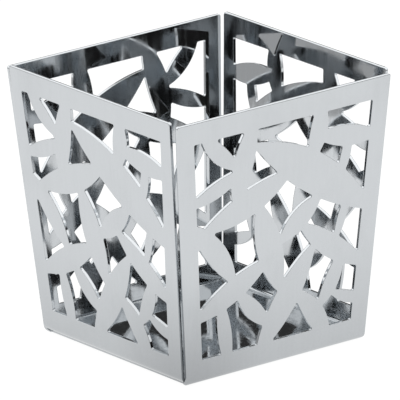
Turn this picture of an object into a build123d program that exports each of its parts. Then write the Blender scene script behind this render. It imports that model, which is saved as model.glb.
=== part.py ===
"""Square napkin holder: two folded sheet-steel strips that cross under the napkins.

Millimetres, +Z up.  The origin is the middle of the underside, on the table top.
The lower strip carries the walls that face -Y and +Y, and the upper strip lies on it
and carries the walls that face -X and +X.  Spot welds join the two floors.
"""
import os
from math import atan2, cos, degrees, hypot, radians, sin, tan

from build123d import *

# Overall sizes
mouth_width = 100.0  # across the outside of two opposite walls, at the rim
base_width = 84.0  # across the same two walls, where they would meet the underside
wall_height = 101.0  # from the underside of a strip up to its rim

# Sheet and folds
sheet = 1.2  # thickness of the steel
bend_radius = 2.6  # outside radius of the fold between floor and wall
nesting_gap = 0.3  # between the upper floor and the folds of the lower strip
butt_gap = 0.2  # between the edge of an upper wall and the inside of a lower wall
corner_reveal = 1.2  # how far a lower wall stops short of the corner, at the base
lower_mouth_reveal = 1.3  # the same, at the rim
upper_mouth_reveal = 3.0  # how far an upper wall stops short of the corner, at the rim
rim_corner_radius = 1.0  # on the two top corners of each wall
rim_edge_radius = 0.45  # left by the polishing along both edges of the rim

# Openwork in each wall
side_border = 8.5  # from the corner line of the holder to the window
bottom_border = 9.0  # from the base line up the slope to the window
top_border = 8.5  # from the window to the rim
cut_corner_radius = 0.6  # left by the cutting beam in every corner

# Spot welds
nugget_diameter = 5.0
nugget_height = 1.2  # half of it in each floor
nugget_spacing = 44.0

# Worked out from the sizes above
mouth_half = mouth_width / 2
base_half = base_width / 2
flare = mouth_half - base_half
lean = degrees(atan2(flare, wall_height))  # of a wall, from the vertical
slope_length = hypot(flare, wall_height)
window_height = slope_length - bottom_border - top_border
fold_reach = bend_radius * tan(radians(90 - lean) / 2)  # from the base line to the end of the flat floor
flat_half = base_half - fold_reach
floor_half = flat_half - nesting_gap  # half the width of both floors
lower_wall_half = base_half - corner_reveal
upper_wall_half = base_half - sheet / cos(radians(lean)) - butt_gap
lower_rim_half = mouth_half - lower_mouth_reveal
upper_rim_half = mouth_half - upper_mouth_reveal
cut_depth = 2 * sheet  # far enough through a wall from its outside

# Leaves of the openwork.  Each is the lens between two tips, given as hundredths of
# the window: across from its middle to its side, and up from its foot.  The last two
# numbers are the swell on the left and on the right of the line from the first tip to
# the second, in hundredths of the leaf's length.
leaves = [
    ((-93, 105), (-47, 83), 8, 17),
    ((-112, 71), (-40, 84), 8, 13),
    ((-29, 108), (-54, 63), 8, 16),
    ((-97, 58), (15, 78), 9, 14),
    ((-35, 94), (115, 49), 13, 9),
    ((41, 107), (33, 78), 22, 11),
    ((35, 90), (113, 84), 12, 14),
    ((77, 90), (68, 66), 13, 9),
    ((-109, 64), (-54, 30), 16, 8),
    ((-113, 17), (-8, 40), 10, 12),
    ((-28, 67), (3, 21), 14, 14),
    ((-3, 44), (49, 63), 17, 16),
    ((21, 52), (114, 24), 9, 13),
    ((81, 62), (68, 37), 10, 8),
    ((45, 42), (-30, -6), 12, 11),
    ((-54, 28), (-8, 7), 12, 16),
    ((-75, 28), (-64, -10), 10, 9),
    ((78, 35), (51, 9), 21, 7),
    ((19, 21), (71, -9), 21, 6),
    ((65, 17), (123, 9), 4, 18),
]


def window_half(up):
    """Half the width of the window at a height above the base line, up the slope."""
    return base_half + flare * up / slope_length - side_border


def window_point(across, up):
    """A point on the wall from its hundredths of the window."""
    height = bottom_border + window_height * up / 100
    return Vector(window_half(height) * across / 100, height)


def leaf_face(first_tip, second_tip, left_swell, right_swell):
    """One leaf of the openwork, lying on XY with the base line along X."""
    start = window_point(*first_tip)
    end = window_point(*second_tip)
    length = (end - start).length
    with BuildSketch() as leaf:
        with BuildLine():
            SagittaArc(start, end, length * left_swell / 100)
            SagittaArc(end, start, length * right_swell / 100)
        make_face()
    return leaf.sketch


def side_profile(plane, underside):
    """The folded sheet seen along its folds: floor, two bends and two walls with level, rounded rims."""
    rim = underside + wall_height
    with BuildSketch(plane) as profile:
        with BuildLine():
            FilletPolyline(
                (-mouth_half, rim),
                (-base_half, underside),
                (base_half, underside),
                (mouth_half, rim),
                radius=bend_radius,
            )
            offset(amount=sheet, side=Side.LEFT)
        make_face()
        with Locations((0, rim)):
            Rectangle(mouth_width, sheet, align=(Align.CENTER, Align.MIN), mode=Mode.SUBTRACT)
        fillet(profile.vertices().group_by(Axis.Y)[-1], radius=rim_edge_radius)
    return profile.sketch


def wall_outline(plane, underside, wall_half, rim_half):
    """The outline of a strip's walls seen from in front, rounded in to the floor's width."""
    rim = underside + wall_height
    with BuildSketch(plane) as outline:
        with BuildLine():
            Polyline(
                (-rim_half, rim),
                (-wall_half, underside),
                (wall_half, underside),
                (rim_half, rim),
                close=True,
            )
        make_face()
        fillet(outline.vertices().group_by(Axis.Y)[0], radius=wall_half - floor_half)
        fillet(outline.vertices().group_by(Axis.Y)[-1], radius=rim_corner_radius)
    return outline.sketch


def floor_trim(plane):
    """The two strips of flat floor cut away so that the other strip's folds pass outside."""
    with BuildSketch(plane) as trim:
        Rectangle(2 * base_half, 2 * flat_half)
        Rectangle(2 * floor_half, 2 * flat_half, mode=Mode.SUBTRACT)
    return trim.sketch


def wall_plane(turn, underside):
    """The outside of the wall that faces -Y, turned about Z, with its origin on the base line."""
    outward = Vector(0, -1, 0).rotate(Axis.Z, turn)
    across = Vector(1, 0, 0).rotate(Axis.Z, turn)
    normal = outward * cos(radians(lean)) - Vector(0, 0, sin(radians(lean)))
    return Plane(origin=outward * base_half + Vector(0, 0, underside), x_dir=across, z_dir=normal)


def openwork_on(plane):
    """One wall's openwork laid on the outside of a wall."""
    with BuildSketch(plane) as cuts:
        add(openwork.sketch)
    return cuts.sketch


# One wall's openwork: the window less its leaves
with BuildSketch() as openwork:
    with BuildLine():
        Polyline(
            window_point(-100, 0),
            window_point(100, 0),
            window_point(100, 100),
            window_point(-100, 100),
            close=True,
        )
    make_face()
    for leaf in leaves:
        add(leaf_face(*leaf), mode=Mode.SUBTRACT)
    offset(amount=-cut_corner_radius, kind=Kind.INTERSECTION)
    offset(amount=cut_corner_radius, kind=Kind.ARC)

# Spot welds, on a square pattern in the middle of the floors
with BuildPart() as spot_welds:
    with BuildSketch(Plane.XY.offset(sheet - nugget_height / 2)):
        with GridLocations(nugget_spacing, nugget_spacing, 2, 2):
            Circle(nugget_diameter / 2)
    extrude(amount=nugget_height)

# Lower strip: the floor that rests on the table, and the walls that face -Y and +Y
with BuildPart() as lower_strip:
    extrude(side_profile(Plane.YZ, 0), amount=mouth_half, both=True)
    outline = wall_outline(Plane.XZ, 0, lower_wall_half, lower_rim_half)
    extrude(outline, amount=mouth_half, both=True, mode=Mode.INTERSECT)
    extrude(floor_trim(Plane.XY), amount=sheet, mode=Mode.SUBTRACT)
    for turn in (0, 180):
        extrude(openwork_on(wall_plane(turn, 0)), amount=-cut_depth, mode=Mode.SUBTRACT)
    add(spot_welds.part, mode=Mode.SUBTRACT)

# Upper strip: the floor that the napkins rest on, and the walls that face -X and +X
upper_floor = Plane(origin=(0, 0, sheet), x_dir=(0, 1, 0), z_dir=(0, 0, 1))
with BuildPart() as upper_strip:
    extrude(side_profile(Plane.XZ, sheet), amount=mouth_half, both=True)
    outline = wall_outline(Plane.YZ, sheet, upper_wall_half, upper_rim_half)
    extrude(outline, amount=mouth_half, both=True, mode=Mode.INTERSECT)
    extrude(floor_trim(upper_floor), amount=sheet, mode=Mode.SUBTRACT)
    for turn in (90, 270):
        extrude(openwork_on(wall_plane(turn, sheet)), amount=-cut_depth, mode=Mode.SUBTRACT)
    add(spot_welds.part, mode=Mode.SUBTRACT)

os.makedirs("parts", exist_ok=True)
lower_strip.part.label = "lower_strip"
export_step(lower_strip.part, "parts/lower_strip.step")
upper_strip.part.label = "upper_strip"
export_step(upper_strip.part, "parts/upper_strip.step")
spot_welds.part.label = "spot_welds"
export_step(spot_welds.part, "parts/spot_welds.step")
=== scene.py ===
"""Studio picture of a folded, mirror-polished napkin holder."""
import math

import bpy
from mathutils import Matrix, Vector

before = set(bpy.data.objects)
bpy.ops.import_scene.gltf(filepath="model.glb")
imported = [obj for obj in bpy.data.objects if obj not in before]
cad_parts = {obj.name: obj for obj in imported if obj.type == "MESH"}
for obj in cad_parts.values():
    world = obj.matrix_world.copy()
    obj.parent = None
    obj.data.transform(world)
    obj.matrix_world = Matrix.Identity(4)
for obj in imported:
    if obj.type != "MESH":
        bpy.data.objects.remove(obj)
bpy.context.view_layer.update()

# Camera: a long lens, close to orthographic
view_azimuth = math.radians(-37.75)
view_elevation = math.radians(17.95)
view_roll = math.radians(-1.25)
view_distance = 3.608
lens_length = 898.0
aim = Vector((-0.00025, 0.00034, 0.05144))

# Light, as radiance
overhead_light = 1.55
far_side_light = 1.5
far_horizon_light = 0.6
near_side_light = 0.03
far_left_glow = 0.48
floor_light = 0.95
curtain_shade = 0.97  # how much of the light behind the holder the dark curtain takes away

# Where the light changes, from and to, in degrees above the horizon
far_glow_rise = (2, 12)
overhead_rise = (25, 45)
curtain_foot_rise = (6, 10)
curtain_top_rise = (25, 30)

# The same going round, as the cosine of the angle from the camera's side
near_side_edge = (0.3, 0.6)
curtain_edge = (-0.82, -0.68)

# Cards: they stand round the holder, and end at these degrees from the camera's side
card_distance = 0.33
tall_card = 0.18
low_card = 0.06
card_steps = 24
near_card_end = 55
right_card_end = 100
left_card_end = -88
far_left_card_end = -130

# Floor
floor_half = 4.0
floor_drop = 0.00005  # keeps the floor just clear of the underside

# Steel
steel_color = (0.578, 0.6, 0.618)
weld_color = (0.6, 0.6, 0.61)
cut_edge_rounding = 0.0003
wave_depth = 0.00012
grain_depth = 0.00001
pit_depth = 0.00002

# Painted shade: the walls are darkened at the foot, most of all at the front corner, standing in for
# the darker floor reflected near the base
painted_shade_rise = (-0.008, 0.05)  # height at which the painted shade is full, and at which it ends
corner_reach = (-0.085, -0.035)  # x + y at the front corner, and where the corner's part ends
corner_painted_shade = 0.41
foot_painted_shade = 0.17

# Wear: what grain, streaks and smudges do to the brightness and the roughness
grain_shade = (0.992, 1.008)
smudge_shade = -0.03
grain_roughness = (0.02, 0.04)
streak_roughness = 0.06
smudge_roughness = 0.05


class Nodes:
    """A short way to add nodes to a material or a world and join them."""

    def __init__(self, tree):
        self.tree = tree

    def fill(self, node, inputs):
        """Sets a node's inputs: another node's output is linked, anything else is a constant."""
        for key, value in inputs.items():
            if isinstance(value, bpy.types.NodeSocket):
                self.tree.links.new(value, node.inputs[key])
            else:
                node.inputs[key].default_value = value

    def add(self, kind, inputs, **settings):
        node = self.tree.nodes.new(kind)
        for key, value in settings.items():
            setattr(node, key, value)
        self.fill(node, inputs)
        return node

    def place(self):
        """The point in the object's own frame, in metres."""
        return self.add("ShaderNodeTexCoord", {}).outputs["Object"]

    def split(self, vector):
        return self.add("ShaderNodeSeparateXYZ", {"Vector": vector}).outputs

    def math(self, operation, first, second):
        return self.add("ShaderNodeMath", {0: first, 1: second}, operation=operation).outputs[0]

    def ramp(self, value, low, high, out_low=0.0, out_high=1.0):
        """Follows a smooth step from out_low at low to out_high at high."""
        node = self.add(
            "ShaderNodeMapRange",
            {"Value": value, "From Min": low, "From Max": high, "To Min": out_low, "To Max": out_high},
            interpolation_type="SMOOTHSTEP",
        )
        return node.outputs["Result"]

    def noise(self, vector, scale, detail, roughness=0.5):
        node = self.add(
            "ShaderNodeTexNoise",
            {"Vector": vector, "Scale": scale, "Detail": detail, "Roughness": roughness},
        )
        return node.outputs["Fac"]

    def drawn_noise(self, vector, across, along, detail):
        """Noise drawn out up the walls, with its own number of swings a metre across and along."""
        stretched = self.add("ShaderNodeMapping", {"Vector": vector, "Scale": (across, across, along)})
        return self.noise(stretched.outputs["Vector"], scale=1.0, detail=detail)

    def spread(self, noise, out_low, out_high):
        """Stretches the middle of a noise over a range."""
        return self.ramp(noise, 0.3, 0.7, out_low, out_high)

    def shaded(self, color, shade):
        node = self.add("ShaderNodeVectorMath", {0: color, "Scale": shade}, operation="SCALE")
        return node.outputs["Vector"]

    def bump(self, inputs):
        return self.add("ShaderNodeBump", inputs).outputs["Normal"]


def new_material(name):
    material = bpy.data.materials.new(name)
    material.use_nodes = True
    tree = material.node_tree
    return material, Nodes(tree), tree.nodes["Principled BSDF"]


def new_object(name, mesh):
    thing = bpy.data.objects.new(name, mesh)
    bpy.context.scene.collection.objects.link(thing)
    return thing


def steel_marks_and_painted_shade(nodes, place, grain, smudged):
    """How bright the steel is: a faint grain, darker smudges, and painted shade that darkens the walls
    towards the foot, most at the front corner.
    """
    x, y, z = nodes.split(place)
    # painted shade: darker towards the foot and the front corner, in place of the darker floor
    # reflected near the base
    foot = nodes.ramp(z, *painted_shade_rise, 1.0, 0.0)
    painted_shade_depth = nodes.ramp(nodes.math("ADD", x, y), *corner_reach, corner_painted_shade, foot_painted_shade)
    clear = nodes.math("SUBTRACT", 1.0, nodes.math("MULTIPLY", foot, painted_shade_depth))
    smudges = nodes.math("MULTIPLY", smudged, smudge_shade)
    marks = nodes.math("ADD", nodes.spread(grain, *grain_shade), smudges)
    return nodes.math("MULTIPLY", clear, marks)


def steel_roughness(nodes, place, grain, smudged):
    """Nearly a mirror, duller along wiped streaks and on smudges."""
    streak = nodes.drawn_noise(place, across=320.0, along=22.0, detail=2.0)
    wiped = nodes.ramp(streak, 0.35, 0.7, 0.0, streak_roughness)
    worn = nodes.math("ADD", wiped, nodes.math("MULTIPLY", smudged, smudge_roughness))
    return nodes.math("ADD", nodes.spread(grain, *grain_roughness), worn)


def steel_normal(nodes, place, grain):
    """Softened cut edges, a slightly wavy sheet and the grain of the rolling."""
    wave_place = nodes.add("ShaderNodeMapping", {"Vector": place, "Scale": (1.0, 1.0, 0.35)})
    waves = nodes.noise(wave_place.outputs["Vector"], scale=38.0, detail=1.0)
    rounded = nodes.add("ShaderNodeBevel", {"Radius": cut_edge_rounding}, samples=8).outputs["Normal"]
    wavy = nodes.bump({"Height": waves, "Normal": rounded, "Strength": 1.0, "Distance": wave_depth})
    return nodes.bump({"Height": grain, "Normal": wavy, "Strength": 0.05, "Distance": grain_depth})


def polished_steel():
    """Mirror polish with a faint satin grain, wiped streaks, smudges, soft waviness and painted shade
    towards the foot.
    """
    material, nodes, shader = new_material("polished_steel_look")
    place = nodes.place()
    grain = nodes.drawn_noise(place, across=900.0, along=60.0, detail=3.0)
    smudged = nodes.ramp(nodes.noise(place, scale=45.0, detail=4.0, roughness=0.6), 0.48, 0.72)
    nodes.fill(shader, {
        "Metallic": 1.0,
        "Base Color": nodes.shaded(steel_color, steel_marks_and_painted_shade(nodes, place, grain, smudged)),
        "Roughness": steel_roughness(nodes, place, grain, smudged),
        "Normal": steel_normal(nodes, place, grain),
    })
    return material


def weld_steel():
    """The fused nuggets inside the floors: dull, mottled and finely pitted."""
    material, nodes, shader = new_material("weld_steel_look")
    place = nodes.place()
    mottle = nodes.noise(place, scale=900.0, detail=4.0, roughness=0.6)
    pits = nodes.noise(place, scale=3500.0, detail=2.0)
    nodes.fill(shader, {
        "Metallic": 1.0,
        "Base Color": nodes.shaded(weld_color, nodes.spread(mottle, 0.8, 1.1)),
        "Roughness": nodes.spread(mottle, 0.3, 0.45),
        "Normal": nodes.bump({"Height": pits, "Strength": 0.4, "Distance": pit_depth}),
    })
    return material


def make_camera():
    data = bpy.data.cameras.new("camera")
    data.lens = lens_length
    data.sensor_width = 36.0
    data.clip_start = 0.1
    data.clip_end = 50.0
    camera = new_object("camera", data)
    back = Vector((
        math.sin(view_azimuth) * math.cos(view_elevation),
        -math.cos(view_azimuth) * math.cos(view_elevation),
        math.sin(view_elevation),
    ))
    turn = (-back).to_track_quat("-Z", "Y").to_matrix() @ Matrix.Rotation(view_roll, 3, "Z")
    camera.matrix_world = Matrix.Translation(aim + back * view_distance) @ turn.to_4x4()
    bpy.context.scene.camera = camera


def make_floor():
    """A pale table top, lit from within as well so that it stays white around the holder."""
    half = floor_half
    mesh = bpy.data.meshes.new("floor")
    mesh.from_pydata(
        [(-half, -half, 0), (half, -half, 0), (half, half, 0), (-half, half, 0)], [], [(0, 1, 2, 3)]
    )
    floor = new_object("floor", mesh)
    floor.location.z = -floor_drop
    material, nodes, shader = new_material("floor_paper")
    fleck = nodes.spread(nodes.noise(nodes.place(), scale=900.0, detail=3.0), 0.08, 0.1)
    tone = nodes.add("ShaderNodeCombineColor", {"Red": fleck, "Green": fleck, "Blue": fleck})
    nodes.fill(shader, {
        "Base Color": tone.outputs["Color"],
        "Roughness": 1.0,
        "Specular IOR Level": 0.0,
        "Emission Color": (1, 1, 1, 1),
        "Emission Strength": floor_light,
    })
    mesh.materials.append(material)


def upward(rises):
    """The upward parts of directions at these degrees above the horizon."""
    return [math.sin(math.radians(rise)) for rise in rises]


def make_world():
    """A soft white room: bright overhead and on the far side, dark at eye level on the near side."""
    world = bpy.data.worlds.new("studio")
    bpy.context.scene.world = world
    world.use_nodes = True
    nodes = Nodes(world.node_tree)
    way = nodes.add("ShaderNodeTexCoord", {}).outputs["Generated"]
    up = nodes.split(way)["Z"]
    near_way = (math.sin(view_azimuth), -math.cos(view_azimuth), 0.0)
    dot = nodes.add("ShaderNodeVectorMath", {0: way, 1: near_way}, operation="DOT_PRODUCT")
    nearness = dot.outputs["Value"]
    far = nodes.ramp(up, *upward(far_glow_rise), far_horizon_light, far_side_light)
    near = nodes.ramp(up, *upward(overhead_rise), near_side_light, overhead_light)
    share = nodes.ramp(nearness, *near_side_edge)
    room = nodes.add("ShaderNodeMix", {"Factor": share, "A": far, "B": near}).outputs["Result"]
    # a dark curtain straight behind the holder, mirrored by its inside floor
    behind = nodes.ramp(nearness, *curtain_edge, curtain_shade, 0.0)
    below_top = nodes.ramp(up, *upward(curtain_top_rise), 1.0, 0.0)
    above_foot = nodes.ramp(up, *upward(curtain_foot_rise))
    hung = nodes.math("MULTIPLY", behind, nodes.math("MULTIPLY", below_top, above_foot))
    level = nodes.math("MULTIPLY", room, nodes.math("SUBTRACT", 1.0, hung))
    nodes.fill(world.node_tree.nodes["Background"], {"Color": (1, 1, 1, 1), "Strength": level})


def make_card(name, start, end, rise, glow):
    """One upright card, bent to an arc; its ends are in degrees round from the camera's side."""
    middle = math.atan2(-math.cos(view_azimuth), math.sin(view_azimuth))
    verts = []
    for k in range(card_steps + 1):
        angle = middle + math.radians(start + (end - start) * k / card_steps)
        foot = (card_distance * math.cos(angle), card_distance * math.sin(angle))
        verts.append((*foot, 0.0))
        verts.append((*foot, rise))
    faces = [(2 * k, 2 * k + 2, 2 * k + 3, 2 * k + 1) for k in range(card_steps)]
    mesh = bpy.data.meshes.new(name)
    mesh.from_pydata(verts, [], faces)
    card = new_object(name, mesh)
    material, nodes, shader = new_material(name)
    nodes.fill(shader, {
        "Base Color": (0.01, 0.01, 0.01, 1),
        "Roughness": 1.0,
        "Specular IOR Level": 0.0,
        "Emission Color": (1, 1, 1, 1),
        "Emission Strength": glow,
    })
    mesh.materials.append(material)
    card.visible_camera = False
    card.visible_diffuse = False
    card.visible_shadow = False


def make_cards():
    """Cards that only reflections see: dark on the near side, grey beyond the left wall."""
    make_card("near_card", -near_card_end, near_card_end, tall_card, 0.0)
    make_card("right_card", near_card_end, right_card_end, low_card, 0.0)
    make_card("left_card", left_card_end, -near_card_end, low_card, 0.0)
    make_card("far_left_card", far_left_card_end, left_card_end, low_card, far_left_glow)


steel = polished_steel()
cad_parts["lower_strip"].material_slots[0].material = steel
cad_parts["upper_strip"].material_slots[0].material = steel
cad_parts["spot_welds"].material_slots[0].material = weld_steel()

make_camera()
make_floor()
make_world()
make_cards()
bpy.context.scene.view_settings.view_transform = "Standard"
